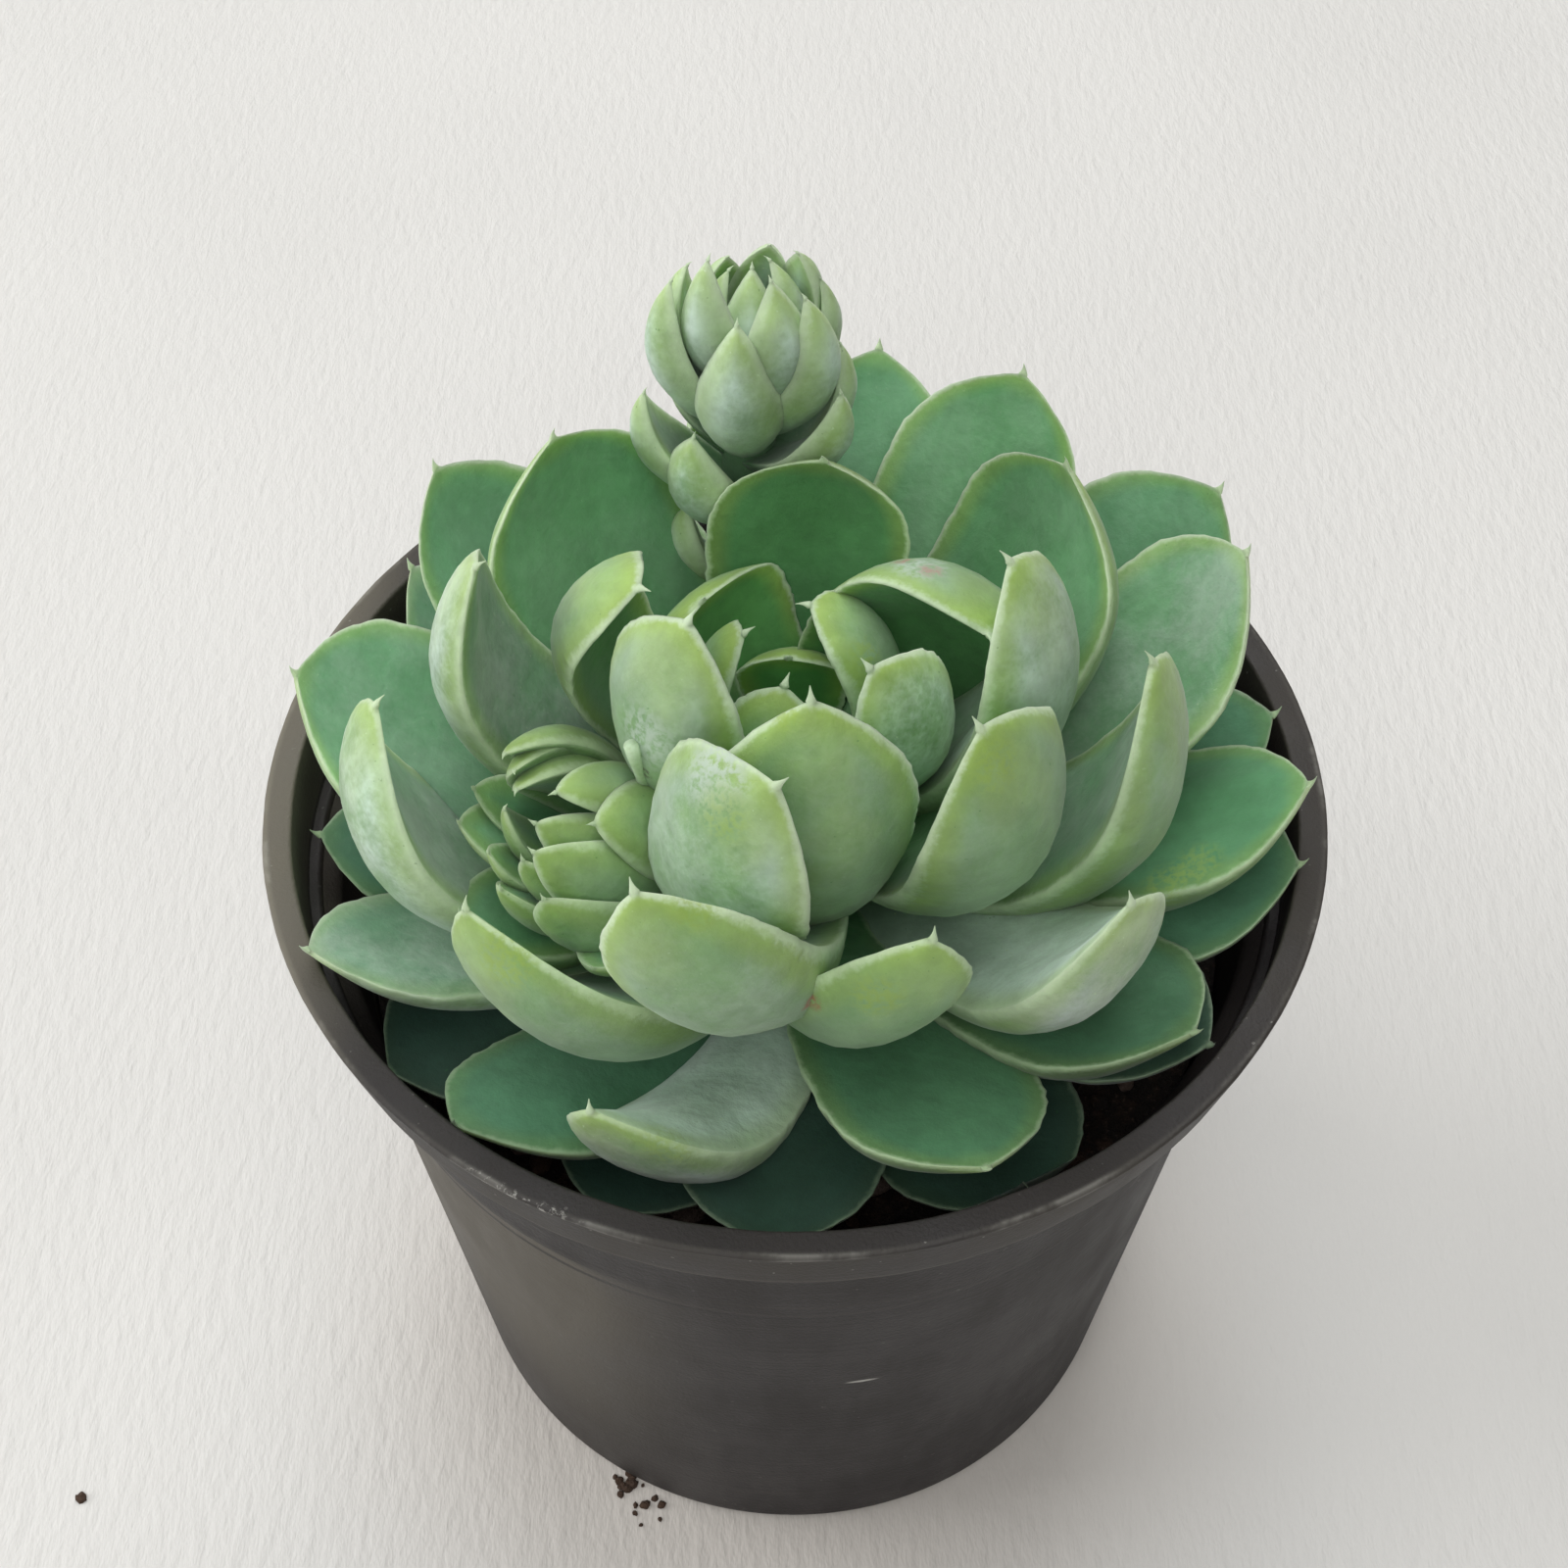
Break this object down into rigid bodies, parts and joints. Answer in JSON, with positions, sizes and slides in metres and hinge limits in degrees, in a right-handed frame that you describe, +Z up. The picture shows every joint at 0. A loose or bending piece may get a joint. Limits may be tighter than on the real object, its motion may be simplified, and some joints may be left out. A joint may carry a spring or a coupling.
{
  "type": "potted rosette succulent",
  "caption": "Small round nursery pot of dark plastic holding a wide rosette succulent with thick cupped leaves, a young offset low on one side and a short leafy shoot at the back.",
  "frame": {"origin": "centre of the pot's flat underside", "axes": "+Z up along the pot's axis, -Y towards the side seen in the picture, +X to its right"},
  "size_m": [0.076, 0.076, 0.0985],
  "materials": {
    "pot_plastic": "dusty matt black plastic with pale rubbed spots along the rim",
    "potting_mix": "damp dark peat with small bark and grit",
    "rosette_leaf": "matt green leaf under a thin waxy bloom, paler at the margins and below",
    "offset_leaf": "young yellow-green leaf with little bloom",
    "shoot_leaf": "pale green leaf with a waxy bloom"
  },
  "bodies": {
    "root": {"pot": "pot_plastic", "potting_mix": "potting_mix", "main_rosette": "rosette_leaf", "offset_rosette": "offset_leaf", "leafy_shoot": "shoot_leaf"}
  },
  "joints": []
}
